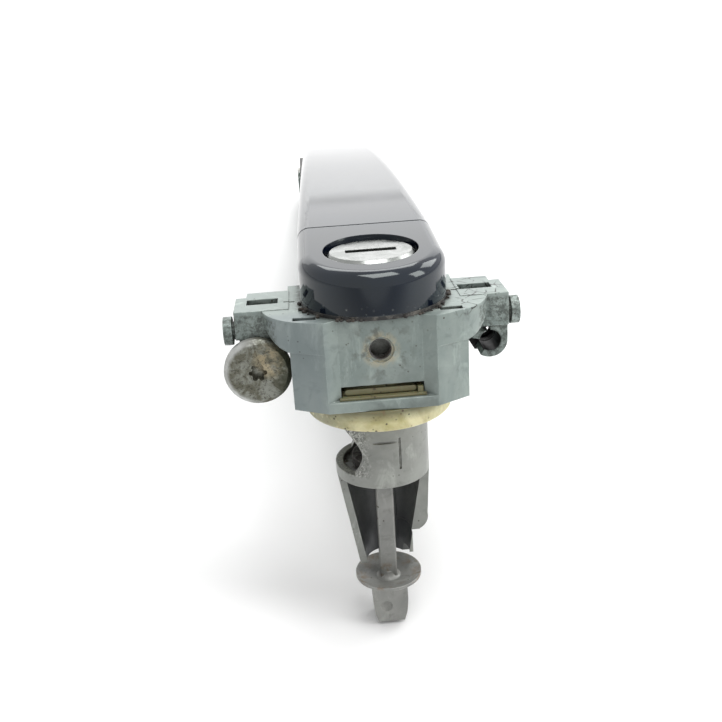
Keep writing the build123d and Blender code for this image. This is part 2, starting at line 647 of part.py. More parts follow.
def tip_block():
    """Flattened end block with bowed sides, which the lock's lever grips."""
    half = TIP_SIZE[0] / 2
    top = DISH_Z - DISH_THICK
    middle = (top + TIP_END_Z) / 2 + 1
    side = ThreePointArc((half - 0.3, top), (half, middle), (half - 0.4, TIP_END_Z + 2))
    base = Line((half - 0.4, TIP_END_Z + 2), (half - 1.0, TIP_END_Z))
    right = side + base
    left = mirror(right, about=Plane.YZ)
    floor = Line((half - 1.0, TIP_END_Z), (1.0 - half, TIP_END_Z))
    roof = Line((half - 0.3, top), (0.3 - half, top))
    block = front_prism(make_face(right + left + floor + roof), -TIP_SIZE[1] / 2, TIP_SIZE[1] / 2)
    dimple = Pos(-1.0, -TIP_SIZE[1] / 2 - 1.1, TIP_END_Z + 4.2) * Sphere(1.8)
    return block - dimple


# Bracket casting
def block_plan():
    right = [
        (RECESS_HALF, RECESS_Y),
        (FACET_HALF, FACET_FRONT_Y),
        (BLOCK_HALF, FACET_BACK_Y),
        (BLOCK_HALF, BLOCK_BACK_Y),
    ]
    left = [(-x, y) for x, y in reversed(right)]
    return outline(right + left)


def gusset_plan():
    start = (FACET_HALF, FACET_FRONT_Y)
    end = (GUSSET_HALF, WING_FRONT_Y - 0.2)
    front = Line(start, (16.6, -12.7)) + ThreePointArc((16.6, -12.7), GUSSET_BULGE, end)
    side = Line(end, (GUSSET_HALF, WING_BACK_Y))
    half = front + side
    back = Line((GUSSET_HALF, WING_BACK_Y), (-GUSSET_HALF, WING_BACK_Y))
    nose = Line(start, (-FACET_HALF, FACET_FRONT_Y))
    return make_face(half + mirror(half, about=Plane.YZ) + back + nose)


def gusset_front():
    drop = GUSSET_DEPTH
    run = GUSSET_HALF - BLOCK_HALF + 0.4
    root = (GUSSET_HALF - run, -drop)
    bulge = (GUSSET_HALF - run * (1 - sin(pi / 4)), -drop * cos(pi / 4))
    half = Line((GUSSET_HALF, 0), (GUSSET_HALF, -0.8)) + ThreePointArc((GUSSET_HALF, -0.8), bulge, root)
    top = Line((GUSSET_HALF, 0), (-GUSSET_HALF, 0))
    bottom = Line(root, (-root[0], root[1]))
    return make_face(half + mirror(half, about=Plane.YZ) + top + bottom)


def recess_cut():
    plan = outline([
        (-RECESS_HALF, RECESS_Y),
        (-FACET_HALF, FACET_FRONT_Y),
        (-FACET_HALF, FACET_FRONT_Y - 5),
        (FACET_HALF, FACET_FRONT_Y - 5),
        (FACET_HALF, FACET_FRONT_Y),
        (RECESS_HALF, RECESS_Y),
    ])
    return plan_prism(plan, LIP_TOP_Z, 1)


def make_block():
    block = plan_prism(block_plan(), -BLOCK_DEPTH, 0)
    lip = box(-FACET_HALF, FACET_HALF, FACET_FRONT_Y, RECESS_Y + 1, -BLOCK_DEPTH, LIP_TOP_Z)
    gusset = plan_prism(gusset_plan(), -GUSSET_DEPTH, 0)
    gusset &= front_prism(gusset_front(), FACET_FRONT_Y - 1, WING_BACK_Y + 1)
    return block + lip + gusset - recess_cut()


def make_wing(half, depth):
    """Right-hand wing with its raised seat, trunnion, screw hook and web."""
    wing = box(BLOCK_HALF - 1, half, WING_FRONT_Y, WING_BACK_Y, -depth, 0)
    wing += box(WING_SEAT_START, half, WING_FRONT_Y, WING_BACK_Y, -1, WING_SEAT_RISE)
    wing += box(BLOCK_HALF - 1, WEB_END, WEB_START_Y, WING_BACK_Y, WEB_BOTTOM_Z, -1)
    notch_x, notch_y = WING_NOTCH
    wing -= box(half - notch_x, half + 1, WING_BACK_Y - notch_y, WING_BACK_Y + 1, -10, 1)
    y, z = TRUNNION_YZ
    flange_radius, flange_thick = TRUNNION_FLANGE
    flange_x = half + TRUNNION_LENGTH
    wing += cross_rod(TRUNNION_RADIUS, y, z, half - 1, flange_x + 0.2)
    wing += cross_rod(flange_radius, y, z, flange_x, flange_x + flange_thick)
    return wing + screw_hook(depth)


def screw_hook(depth):
    """Hook under the wing that the clamp screw's shoulder drops into, open towards the block."""
    x, z = HOOK_XZ
    stem = Pos(x, (z - depth) / 2 + 0.2) * Rectangle(2 * HOOK_RADIUS, -depth - z + 0.4)
    start, end = [radians(angle) for angle in HOOK_MOUTH]
    reach = 3 * HOOK_RADIUS
    corners = [(x, z)]
    for angle in (start, (start + end) / 2, end):
        corners.append((x + reach * cos(angle), z + reach * sin(angle)))
    profile = Pos(x, z) * Circle(HOOK_RADIUS) + stem - outline(corners) - Pos(x, z) * Circle(HOOK_BORE)
    return front_prism(profile, *HOOK_SPAN)


def channel_profile(lift):
    """Side outline of the channel; lift moves the floor up by the wall."""
    near, far = TROUGH_SPAN
    start = BLOCK_BACK_Y if lift else CHANNEL_START_Y
    end = CHANNEL_END_Y - (1.7 * lift)
    floor = DEEP_Z + lift
    points = [
        (end, HINGE_END_Z + lift),
        (FAR_DEEP_Y + 11, HINGE_END_Z - 1 + lift),
        (FAR_DEEP_Y, floor),
        (NEAR_DEEP_Y, floor),
        (start + 6, -BLOCK_DEPTH + 1 + lift),
        (start, -BLOCK_DEPTH + 1 + lift),
    ]
    if lift:
        roof = [(start, 5), (end, 5)]
    else:
        roof = [
            (start, 0),
            (near, 0),
            (near + TROUGH_SLOPE, TROUGH_Z),
            (far - TROUGH_SLOPE, TROUGH_Z),
            (far, 0),
            (end, 0),
        ]
    return outline(points + roof)


def make_channel():
    outer = side_prism(channel_profile(0), -CHANNEL_HALF, CHANNEL_HALF)
    corners = outer.edges().filter_by(Axis.X)
    bends = corners.filter_by(lambda e: NEAR_DEEP_Y - 2 < e.center().Y < FAR_DEEP_Y + 12)
    outer = fillet(bends, CHANNEL_CORNER)
    inner = side_prism(channel_profile(CHANNEL_WALL), -CHANNEL_INNER, CHANNEL_INNER)
    channel = outer - inner
    y0, y1 = FLOOR_WINDOW
    channel -= box(-FLOOR_WINDOW_HALF, FLOOR_WINDOW_HALF, y0, y1, DEEP_Z - 1, -BLOCK_DEPTH + 2)
    length, width = FLOOR_HOLE
    for y in FLOOR_HOLE_Y:
        hole = Pos(0, y) * Rot(0, 0, 90) * SlotOverall(length, width)
        channel -= plan_prism(hole, DEEP_Z - 1, DEEP_Z + CHANNEL_WALL + 1)
    y, z, length, height = SIDE_WINDOW
    window = side_prism(Pos(y, z) * SlotOverall(length, height), -20, 20)
    return channel - window + channel_ribs()


def channel_ribs():
    """Stiffening ribs outside the channel's walls and along its floor."""
    stand, thick = SIDE_RIB
    spans = [(y, DEEP_Z + CHANNEL_CORNER / 2, TROUGH_Z - 0.3) for y in SIDE_RIB_Y]
    spans += [(y, -BLOCK_DEPTH + 3, -1.5) for y in BAY_RIB_Y]
    spans += [(y, HINGE_END_Z + 2, -1.5) for y in FAR_RIB_Y]
    ribs = Part()
    for y, z0, z1 in spans:
        rib = box(CHANNEL_HALF - 0.5, CHANNEL_HALF + stand, y - thick / 2, y + thick / 2, z0, z1)
        ribs += chamfer(rib.faces().sort_by(Axis.X)[-1].edges().filter_by(Axis.Y), stand * 0.8)
    keel_x, keel_width, keel_depth = KEEL_RIB
    start = FLOOR_WINDOW[1] + 4
    ribs += box(keel_x, keel_x + keel_width, start, FAR_DEEP_Y - 4, DEEP_Z - keel_depth, DEEP_Z + 0.5)
    return both_sides(ribs)


def make_ear():
    """Flat tongue at the hinge end, with the bracket's far screw hole."""
    start = CHANNEL_END_Y - 1
    end = CHANNEL_END_Y + EAR_LENGTH
    ear = box(-EAR_HALF, EAR_HALF, start, end, EAR_TOP_Z - EAR_THICK, EAR_TOP_Z)
    ear = fillet(ear.faces().sort_by(Axis.Y)[-1].edges().filter_by(Axis.Z), 4)
    return ear - upright(EAR_HOLE_RADIUS, -20, 0, y=end - 5)


def make_bracket():
    casting = make_block() + make_channel() + make_ear()
    right_wing, left_wing = [make_wing(half, depth) for half, depth in zip(WING_HALF, WING_DEPTH)]
    casting += right_wing + mirror(left_wing, about=Plane.YZ)
    casting -= upright(HOUSING_RADIUS + PIN_FIT, -BLOCK_DEPTH, 1)
    casting -= upright(COLLAR_TOP_RADIUS + 0.1, -BLOCK_DEPTH - 1, HOUSING_SHOULDER_Z)
    casting -= box(-RECESS_HALF, RECESS_HALF, FACET_FRONT_Y + 0.5, -5, LIP_TOP_Z, SLOT_TOP_Z)
    casting -= long_rod(FRONT_HOLE_RADIUS, 0, FRONT_HOLE_Z, RECESS_Y - 1, -5)
    sink_radius, sink_depth = FRONT_HOLE_SINK
    casting -= long_rod(sink_radius, 0, FRONT_HOLE_Z, RECESS_Y - 1, RECESS_Y + sink_depth)
    casting -= long_rod(SCREW_SEAT[0], 0, FRONT_HOLE_Z, THREAD_END_Y, -5)
    x0, x1, y0, y1, depth = POCKET
    casting -= both_sides(box(x0, x1, y0, y1, -depth, 1))
    x0, x1, y0, y1, depth = WING_SLIT
    casting -= both_sides(box(x0, x1, y0, y1, -depth, 1))
    right_slot, left_slot = [box(*span, *WING_SLOT_Y, -10, 1) for span in WING_SLOT_X]
    casting -= right_slot + mirror(left_slot, about=Plane.YZ)
    casting -= cross_rod(LEVER_PIN_RADIUS + PIN_FIT, *LEVER_YZ, -20, 20)
    return casting - cross_rod(HINGE_PIN_RADIUS + PIN_FIT, *HINGE_YZ, -20, 20)


# Fasteners and pads on the bracket
def lobed_socket():
    lobes = Circle(DRIVE_RADIUS * 0.72)
    for step in range(6):
        lobes += Rot(0, 0, 60 * step) * Pos(DRIVE_RADIUS * 0.72, 0) * Circle(DRIVE_RADIUS * 0.28)
    return lobes


def make_clamp_screw():
    x, z = -HOOK_XZ[0], HOOK_XZ[1]
    head_back = WING_FRONT_Y - BODY_GAP
    head_front = head_back - SCREW_HEAD_THICK
    head = long_rod(SCREW_HEAD_RADIUS, x, z, head_front, head_back)
    head = chamfer(head.faces().sort_by(Axis.Y)[0].edges(), SCREW_BEVEL)
    socket = front_prism(Pos(x, z) * lobed_socket(), head_front - 1, head_front + DRIVE_DEPTH)
    shoulder = long_rod(SCREW_SHOULDER_RADIUS, x, z, head_back - 0.2, HOOK_SPAN[0])
    shank = long_rod(SCREW_SHANK_RADIUS, x, z, HOOK_SPAN[0] - 0.2, HOOK_SPAN[1] + NUT_THICK + 2)
    return head + shoulder + shank - socket


def make_clamp_nuts():
    """A nut behind each screw hook; only the left one holds the clamp screw."""
    x, z = HOOK_XZ
    nut = front_prism(Pos(x, z) * RegularPolygon(NUT_FLATS / 2, 6, major_radius=False),
                      HOOK_SPAN[1], HOOK_SPAN[1] + NUT_THICK)
    return both_sides(nut - long_rod(HOOK_BORE, x, z, 0, 30))


def make_rear_gasket():
    pad = plan_prism(cap_plan(0), 0, GASKET_TOP) - plan_prism(cap_plan(GASKET_RIM), -1, GASKET_TOP + 1)
    return pad


def make_front_gasket():
    end = CHANNEL_END_Y - 4
    middle = (FRONT_GASKET_START + end) / 2
    length = end - FRONT_GASKET_START
    ring = Rectangle(2 * CHANNEL_HALF, length) - Rectangle(2 * CHANNEL_INNER, length - 2 * GASKET_RIM)
    return plan_prism(Pos(0, middle) * ring, 0, GASKET_TOP)


def make_rest_buffers():
    pad = box(CHANNEL_INNER + 0.1, CHANNEL_HALF, *BUFFER_SPAN, 0, GASKET_TOP)
    return [pad, mirror(pad, about=Plane.YZ)]


def save(name, shape):
    solids = shape if isinstance(shape, list) else [shape]
    flat = [solid for item in solids for solid in item.solids()]
    result = flat[0] if len(flat) == 1 else Compound(children=flat)
    export_step(result, f"parts/{name}.step")


def main():
    os.makedirs("parts", exist_ok=True)
    save("bracket", make_bracket())
    save("lock_cap", make_lock_cap())
    save("lock_housing", make_lock_housing())
    save("collar_ring", make_collar_ring())
    save("plug_clip", make_plug_clip())
    save("lock_face", make_lock_face())
    save("lock_plug", make_lock_plug())
    save("tail_rod", make_tail_rod())
    save("clamp_screw", make_clamp_screw())
    save("clamp_nuts", make_clamp_nuts())
    save("rear_gasket", make_rear_gasket())
    save("front_gasket", make_front_gasket())
    save("rest_buffers", make_rest_buffers())
    save("lever_pin", make_cross_pin(LEVER_PIN_RADIUS, LEVER_YZ))
    save("hinge_pin", make_cross_pin(HINGE_PIN_RADIUS, HINGE_YZ))
    save("lever_spring", make_lever_spring())
    save("bell_crank", make_bell_crank())
    save("counterweight", make_counterweight())
    save("weight_rivet", make_weight_rivet())
    save("rod_clip", make_rod_clip())
    save("grip_shell", make_grip_shell())
    save("grip_liner", make_grip_liner())
    save("grip_screws", make_grip_screws())
    save("pull_stirrup", make_pull_stirrup())
    save("hinge_arm", make_hinge_arm())
    save("arm_screws", make_arm_screws())


main()
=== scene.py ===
import bpy
import random
from math import cos, radians, sin
from mathutils import Matrix, Vector


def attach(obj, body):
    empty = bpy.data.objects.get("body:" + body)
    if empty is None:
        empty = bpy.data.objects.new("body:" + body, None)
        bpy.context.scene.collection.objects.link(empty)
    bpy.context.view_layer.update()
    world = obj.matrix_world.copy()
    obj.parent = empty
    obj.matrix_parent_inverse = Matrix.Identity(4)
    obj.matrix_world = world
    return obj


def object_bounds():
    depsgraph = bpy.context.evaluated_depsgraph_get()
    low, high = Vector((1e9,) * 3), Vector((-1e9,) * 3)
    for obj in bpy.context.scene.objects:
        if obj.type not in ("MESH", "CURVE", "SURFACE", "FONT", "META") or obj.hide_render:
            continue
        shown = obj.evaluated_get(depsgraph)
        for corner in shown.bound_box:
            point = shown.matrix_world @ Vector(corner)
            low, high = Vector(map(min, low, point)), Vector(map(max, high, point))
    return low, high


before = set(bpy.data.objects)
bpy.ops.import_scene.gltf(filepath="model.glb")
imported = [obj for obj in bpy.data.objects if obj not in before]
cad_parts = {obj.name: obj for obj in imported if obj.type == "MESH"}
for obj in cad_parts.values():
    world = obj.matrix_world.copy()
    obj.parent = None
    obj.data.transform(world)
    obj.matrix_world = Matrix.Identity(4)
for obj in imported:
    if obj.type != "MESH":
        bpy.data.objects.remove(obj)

CAD_BOX = [list(corner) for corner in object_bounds()]
MM = 0.001

# Viewing place and angles, fitted to the lock end
VIEW_FROM = Vector((-11.762, -178.251, 54.568)) * MM
VIEW_DOWN = radians(21.0)
VIEW_YAW = radians(2.7)
VIEW_ROLL = radians(3.6)
LENS_MM = 44.88
SENSOR_MM = 36.0

# Table: the handle stands on its tail tip and leans on the channel's far corner
TIP_Z = -79.3 * MM
LEAN = radians(16.4)
# Axes in mm of the front hole and the screw hooks
FRONT_HOLE_Z = -6.8
FRONT_HOLE_RADIUS = 2.1
HOOK_X = 24.8
HOOK_Z = -12.3

# Marks on the bracket: each pair in mm is where a mark starts and where it is full
FRONT_FACE_Y = (-4, -6)
HOLE_RING = (4.2, 2.9)
HOLE_HALO = (7.5, 4.5)
HOLE_INSIDE = (2.3, 2.15)
LOW_DARK_Z = (-9.5, -16.0)
LOW_DARK_LEFT_X = (-6, 3)
LOW_DARK_RIGHT_X = (12.5, 10.5)
LEFT_FACET_X = (-9.5, -12.5)
LEFT_FACET_Y = (-6, -9)
WING_RADIUS = (20.0, 20.6)
BELOW_TOP_Z = (-0.4, -0.9)
TOP_FACE_Z = (-1.6, -0.5)
RIGHT_WING_X = (14.5, 16.5)
HOOK_INSIDE = (2.75, 2.5)
HOOK_DEPTH_Y = (1.8, 2.3)

# Marks on the lock housing, rod, cap, collar and clamp screw, in the same way
WINDOW_EDGE_X = (-2.5, -6.5)
WINDOW_TOP_Z = (-37.4, -36.4)
WINDOW_FRONT_Y = (6, 2)
GUARD_Z = (-38.6, -40.0)
DISH_FROM_Z = (-67.6, -66.8)
DISH_TO_Z = (-63.4, -64.2)
CAP_FOOT_Z = (3.6, 1.2)
COLLAR_TOP_Z = (-21.8, -19.6)
COLLAR_LEFT_X = (-5.5, -11.5)
SCREW_PATCH_CENTRE = (-21.9, 0, -10.0)
SCREW_PATCH_RADIUS = (4.2, 2.2)
SCREW_SHADE_X = (-21.9, -19.8)
SCREW_RIM_RADIUS = (5.7, 6.4)
SCREW_RIM_X = (-24.0, -28.0)

# Dirt pieces, threads, and the dark ring of painted shade in the hook's bore, in mm
CRUMB_COUNT = 90
CRUMB_SIZE = (0.18, 0.75)
CRUMB_LUMPS = (0.72, 1.12)
CRUMB_WIDTH = (0.5, 1.0)
CRUMB_SPREAD = (0.0, 0.055)
CRUMB_HEIGHT = 0.55
CRUMB_LIFT = 0.3
CRUMB_ROOM = 1.15
FOOT_END_Y = 4
FOOT_TOP_Z = 0.1
FOOT_LEAST_RADIUS = 12.5
THREAD_TURNS = 4
THREAD_PITCH = 0.42
THREAD_START_Y = -12.75
THREAD_WIRE = 0.13
BORE_RING_RADIUS = 2.0
BORE_RING_WIRE = 0.5
BORE_RING_Y = 11.3

# Studio
TABLE_SIZE = 8
TABLE_SHADE = 0.93
SOFT_SKY = 0.5
WHITE_SKY = 1.0


# ---------------------------------------------------------------- finishes
class Finish:
    """One procedural finish, built round a Principled shader on Object coordinates."""

    def __init__(self, name):
        self.material = bpy.data.materials.new(name)
        self.material.use_nodes = True
        self.nodes = self.material.node_tree.nodes
        self.links = self.material.node_tree.links
        self.nodes.clear()
        output = self.nodes.new("ShaderNodeOutputMaterial")
        self.shader = self.nodes.new("ShaderNodeBsdfPrincipled")
        self.links.new(self.shader.outputs["BSDF"], output.inputs["Surface"])
        self.place = self.nodes.new("ShaderNodeTexCoord").outputs["Object"]

    def set(self, **values):
        for label, value in values.items():
            socket = label.replace("_", " ").title().replace("Ior", "IOR")
            self.shader.inputs[socket].default_value = value

    def join(self, source, target):
        self.links.new(source, target)

    def stretched(self, scale, move=(0, 0, 0)):
        mapping = self.nodes.new("ShaderNodeMapping")
        mapping.inputs["Scale"].default_value = scale
        mapping.inputs["Location"].default_value = move
        self.join(self.place, mapping.inputs["Vector"])
        return mapping.outputs["Vector"]

    def noise(self, size_mm, detail=4.0, roughness=0.55, distortion=0.0, place=None):
        node = self.nodes.new("ShaderNodeTexNoise")
        node.inputs["Scale"].default_value = 1 / (size_mm * MM)
        node.inputs["Detail"].default_value = detail
        node.inputs["Roughness"].default_value = roughness
        node.inputs["Distortion"].default_value = distortion
        self.join(place or self.place, node.inputs["Vector"])
        return node.outputs["Fac"]

    def cells(self, size_mm, feature="F1", randomness=1.0, place=None):
        node = self.nodes.new("ShaderNodeTexVoronoi")
        node.feature = feature
        node.inputs["Scale"].default_value = 1 / (size_mm * MM)
        node.inputs["Randomness"].default_value = randomness
        self.join(place or self.place, node.inputs["Vector"])
        return node.outputs["Distance"]

    def window(self, source, low, high, to_low=0.0, to_high=1.0):
        node = self.nodes.new("ShaderNodeMapRange")
        node.inputs["From Min"].default_value = low
        node.inputs["From Max"].default_value = high
        node.inputs["To Min"].default_value = to_low
        node.inputs["To Max"].default_value = to_high
        self.join(source, node.inputs["Value"])
        return node.outputs["Result"]

    def combine(self, operation, a, b):
        node = self.nodes.new("ShaderNodeMath")
        node.operation = operation
        node.use_clamp = operation in ("ADD", "SUBTRACT")
        for socket, value in zip(node.inputs, (a, b)):
            if isinstance(value, (int, float)):
                socket.default_value = value
            else:
                self.join(value, socket)
        return node.outputs["Value"]

    def tint(self, factor, a, b):
        node = self.nodes.new("ShaderNodeMix")
        node.data_type = "RGBA"
        self.join(factor, node.inputs["Factor"])
        for label, value in (("A", a), ("B", b)):
            socket = next(s for s in node.inputs if s.name == label and s.type == "RGBA")
            if isinstance(value, tuple):
                socket.default_value = (*value, 1)
            else:
                self.join(value, socket)
        return next(s for s in node.outputs if s.type == "RGBA")

    def axis_value(self, axis):
        node = self.nodes.new("ShaderNodeSeparateXYZ")
        self.join(self.place, node.inputs["Vector"])
        return node.outputs[axis]

    def radius_from(self, centre_mm, axes):
        """Distance in metres from an axis through centre_mm; axes has 0 along that axis."""
        node = self.nodes.new("ShaderNodeVectorMath")
        node.operation = "LENGTH"
        move = tuple(-place * MM * axis for place, axis in zip(centre_mm, axes))
        self.join(self.stretched(axes, move), node.inputs[0])
        return node.outputs["Value"]

    def within(self, distance, start_mm, end_mm):
        """0 up to start_mm of a distance, 1 from end_mm on; end_mm may be the smaller."""
        return self.window(distance, start_mm * MM, end_mm * MM)

    def beyond(self, axis, start_mm, end_mm):
        """0 up to start_mm on an axis, 1 from end_mm on."""
        return self.within(self.axis_value(axis), start_mm, end_mm)

    def patches(self, low, high, size_mm, *grain):
        """Noise cut to patches: 0 below low, 1 above high."""
        return self.window(self.noise(size_mm, *grain), low, high)

    def stain(self, body, colour, mask, amount=None):
        """The colour body, turned to another colour where the mask is 1."""
        if amount is not None:
            mask = self.both(mask, amount)
        return self.tint(mask, body, colour)

    def both(self, *masks):
        result = masks[0]
        for mask in masks[1:]:
            result = self.combine("MULTIPLY", result, mask)
        return result

    def corners(self, reach_mm, open_at=0.75, shut_at=0.25):
        """1 in tight inner corners, 0 on open faces."""
        node = self.nodes.new("ShaderNodeAmbientOcclusion")
        node.samples = 6
        node.inputs["Distance"].default_value = reach_mm * MM
        return self.window(node.outputs["AO"], open_at, shut_at)

    def edges(self, reach_mm):
        """(softened normal, 1 on outer and inner edges)."""
        bevel = self.nodes.new("ShaderNodeBevel")
        bevel.samples = 6
        bevel.inputs["Radius"].default_value = reach_mm * MM
        geometry = self.nodes.new("ShaderNodeNewGeometry")
        dot = self.nodes.new("ShaderNodeVectorMath")
        dot.operation = "DOT_PRODUCT"
        self.join(bevel.outputs["Normal"], dot.inputs[0])
        self.join(geometry.outputs["Normal"], dot.inputs[1])
        return bevel.outputs["Normal"], self.window(dot.outputs["Value"], 0.995, 0.90)

    def relief(self, height, depth_mm, normal=None, strength=1.0):
        node = self.nodes.new("ShaderNodeBump")
        node.inputs["Strength"].default_value = strength
        node.inputs["Distance"].default_value = depth_mm * MM
        self.join(height, node.inputs["Height"])
        if normal is not None:
            self.join(normal, node.inputs["Normal"])
        self.join(node.outputs["Normal"], self.shader.inputs["Normal"])
        return node.outputs["Normal"]

    def colour(self, source):
        self.join(source, self.shader.inputs["Base Color"])

    def roughness(self, source, low, high):
        self.join(self.window(source, 0, 1, low, high), self.shader.inputs["Roughness"])


def cast_zinc(name, base, pale, dark, metal=0.25, dirt=(0.05, 0.045, 0.035), details=None):
    """Satin casting: cloudy oxide, pale rubbed edges, dirt and painted shade in the corners."""
    finish = Finish(name)
    soft_normal, edge = finish.edges(0.35)
    clouds = finish.patches(0.38, 0.68, 9, 6, 0.62, 0.4)
    blotches = finish.patches(0.56, 0.74, 3.2, 5, 0.6, 0.8)
    grain = finish.noise(0.45, 3, 0.6)
    body = finish.tint(clouds, base, pale)
    body = finish.stain(body, dark, blotches, 0.55)
    runs = finish.patches(0.56, 0.70, 4.6, 6, 0.66, 0.5, finish.stretched((1, 1, 0.42)))
    body = finish.stain(body, tuple(min(1, 1.5 * c) for c in pale), runs, 0.6)
    rubbed = finish.both(edge, finish.patches(0.35, 0.65, 2.5))
    body = finish.stain(body, tuple(min(1, 1.9 * c) for c in pale), rubbed, 0.6)
    # Ambient occlusion in patches: dirt in the corners, and painted shade there too.
    corner_dirt_and_shade = finish.both(finish.corners(3), finish.patches(0.35, 0.6, 1.6, 5, 0.7))
    body = finish.stain(body, dirt, corner_dirt_and_shade)
    specks = finish.window(finish.cells(1.7), 0.13, 0.09)
    specks = finish.both(specks, finish.patches(0.5, 0.6, 6))
    body = finish.stain(body, dirt, specks)
    gloss = finish.combine("ADD", finish.both(clouds, 0.5), corner_dirt_and_shade)
    if details:
        body, gloss = details(finish, body, gloss)
    finish.colour(body)
    finish.roughness(gloss, 0.36, 0.72)
    finish.set(metallic=metal)
    finish.relief(finish.combine("ADD", finish.both(grain, 0.5), blotches), 0.05, soft_normal, 0.5)
    return finish


def bracket_details(finish, body, gloss):
    """Dirt seen at its own places on the bracket, with painted shade in the front hole and the
    hook's bore, a painted cool shade on the left facet, and the block darker towards its bottom.
    """
    front = finish.beyond("Y", *FRONT_FACE_Y)
    to_hole = finish.radius_from((0, 0, FRONT_HOLE_Z), (1, 0, 1))
    ring = finish.both(
        finish.within(to_hole, *HOLE_RING),
        finish.patches(0.40, 0.56, 1.3, 5, 0.7),
        front,
    )
    body = finish.stain(body, (0.40, 0.36, 0.25), ring, 0.75)
    halo = finish.both(
        finish.within(to_hole, *HOLE_HALO),
        finish.patches(0.50, 0.62, 2.4, 5, 0.7),
        front,
    )
    body = finish.stain(body, (0.075, 0.075, 0.06), halo, 0.6)
    # Painted shade in the front hole: dark, and less rough there.
    hole_shade = finish.both(finish.within(to_hole, *HOLE_INSIDE), front)
    body = finish.stain(body, (0.035, 0.034, 0.036), hole_shade)
    gloss = finish.combine("SUBTRACT", gloss, hole_shade)
    # The block's front is made darker towards its bottom, in patches.
    low_darkening = finish.both(
        finish.beyond("Z", *LOW_DARK_Z),
        finish.patches(0.34, 0.56, 6.5, 4, 0.6),
        finish.beyond("X", *LOW_DARK_LEFT_X),
        finish.beyond("X", *LOW_DARK_RIGHT_X),
    )
    body = finish.stain(body, (0.115, 0.135, 0.125), low_darkening, 0.6)
    # Painted cool shade on the block's left facet.
    left_facet_shade = finish.both(
        finish.beyond("X", *LEFT_FACET_X),
        finish.beyond("Y", *LEFT_FACET_Y),
        front,
    )
    body = finish.stain(body, (0.155, 0.185, 0.205), left_facet_shade, 0.45)
    wings = finish.within(finish.radius_from((0, 0, 0), (1, 0, 0)), *WING_RADIUS)
    low = finish.beyond("Z", *BELOW_TOP_Z)
    pits = finish.patches(0.42, 0.58, 0.9, 5, 0.75)
    body = finish.stain(body, (0.05, 0.058, 0.05), finish.both(wings, low, pits), 0.8)
    top = finish.beyond("Z", *TOP_FACE_Z)
    cracks = finish.window(finish.cells(3.1, "DISTANCE_TO_EDGE", 1.0), 0.05, 0.02)
    patch = finish.patches(0.46, 0.54, 3.6, 4, 0.6)
    right = finish.beyond("X", *RIGHT_WING_X)
    body = finish.stain(body, (0.02, 0.02, 0.018), finish.both(cracks, patch, right, top))
    seam = finish.corners(1.6, 0.88, 0.55)
    ragged = finish.patches(0.40, 0.52, 1.0, 6, 0.8)
    body = finish.stain(body, (0.012, 0.011, 0.009), finish.both(seam, ragged, top))
    # Painted shade, near black, deep in the right hook's bore.
    to_hook = finish.radius_from((HOOK_X, 0, HOOK_Z), (1, 0, 1))
    hook_bore_shade = finish.both(finish.within(to_hook, *HOOK_INSIDE), finish.beyond("Y", *HOOK_DEPTH_Y))
    body = finish.stain(body, (0.008, 0.008, 0.008), hook_bore_shade)
    return body, gloss


def housing_details(finish, body, gloss):
    """Speckle at the window's edge, and painted shade within the guard."""
    left = finish.beyond("X", *WINDOW_EDGE_X)
    span = finish.both(finish.beyond("Z", *WINDOW_TOP_Z), finish.beyond("Y", *WINDOW_FRONT_Y))
    coarse = finish.patches(0.50, 0.56, 0.55, 6, 0.8)
    moved = finish.stretched((1, 1, 1), (0.3, 0, 0))
    pale_grit = finish.patches(0.52, 0.60, 0.42, 4, 0.8, 0.0, moved)
    grit = finish.both(left, span)
    body = finish.stain(body, (0.02, 0.019, 0.018), finish.both(grit, coarse))
    body = finish.stain(body, (0.62, 0.62, 0.58), finish.both(grit, pale_grit))
    shade = finish.both(finish.corners(11, 0.72, 0.45), finish.beyond("Z", *GUARD_Z))
    body = finish.stain(body, (0.05, 0.053, 0.072), shade, 0.65)
    gloss = finish.combine("SUBTRACT", gloss, finish.both(shade, 0.5))
    return body, gloss


def rod_details(finish, body, gloss):
    """Rust in the dish."""
    dish = finish.both(finish.beyond("Z", *DISH_FROM_Z), finish.beyond("Z", *DISH_TO_Z))
    rust = finish.patches(0.50, 0.64, 2.6, 6, 0.7, 0.4)
    body = finish.stain(body, (0.17, 0.10, 0.05), finish.both(dish, rust), 0.6)
    return body, gloss


def blue_black_paint():
    """Glossy lacquer with fine hairlines and a little dust."""
    finish = Finish("blue_black_paint")
    soft_normal, _ = finish.edges(0.25)
    hairs = finish.noise(0.5, 2, 0.5, 0.0, finish.stretched((1, 0.05, 1)))
    cloud = finish.patches(0.3, 0.7, 14, 3)
    body = finish.tint(cloud, (0.0035, 0.0055, 0.012), (0.006, 0.010, 0.021))
    foot = finish.beyond("Z", *CAP_FOOT_Z)
    dust = finish.window(finish.cells(1.5), 0.20, 0.08)
    dust = finish.both(dust, finish.patches(0.46, 0.58, 3.4, 4), foot)
    finish.colour(finish.tint(finish.both(dust, 0.7), body, (0.22, 0.23, 0.22)))
    finish.roughness(finish.combine("ADD", finish.both(cloud, 0.1), dust), 0.05, 0.5)
    finish.set(ior=1.5, specular_tint=(0.93, 1.0, 0.965, 1))
    finish.relief(hairs, 0.002, soft_normal, 0.3)
    return finish


def grained_plastic(name, colour, pale, size_mm=0.5):
    finish = Finish(name)
    soft_normal, edge = finish.edges(0.2)
    grain = finish.cells(size_mm)
    clouds = finish.patches(0.4, 0.7, 7, 5)
    dust = finish.combine("ADD", finish.both(clouds, 0.5), finish.both(edge, 0.4))
    finish.colour(finish.tint(dust, colour, pale))
    finish.roughness(clouds, 0.5, 0.68)
    finish.relief(grain, 0.03, soft_normal, 0.4)
    return finish


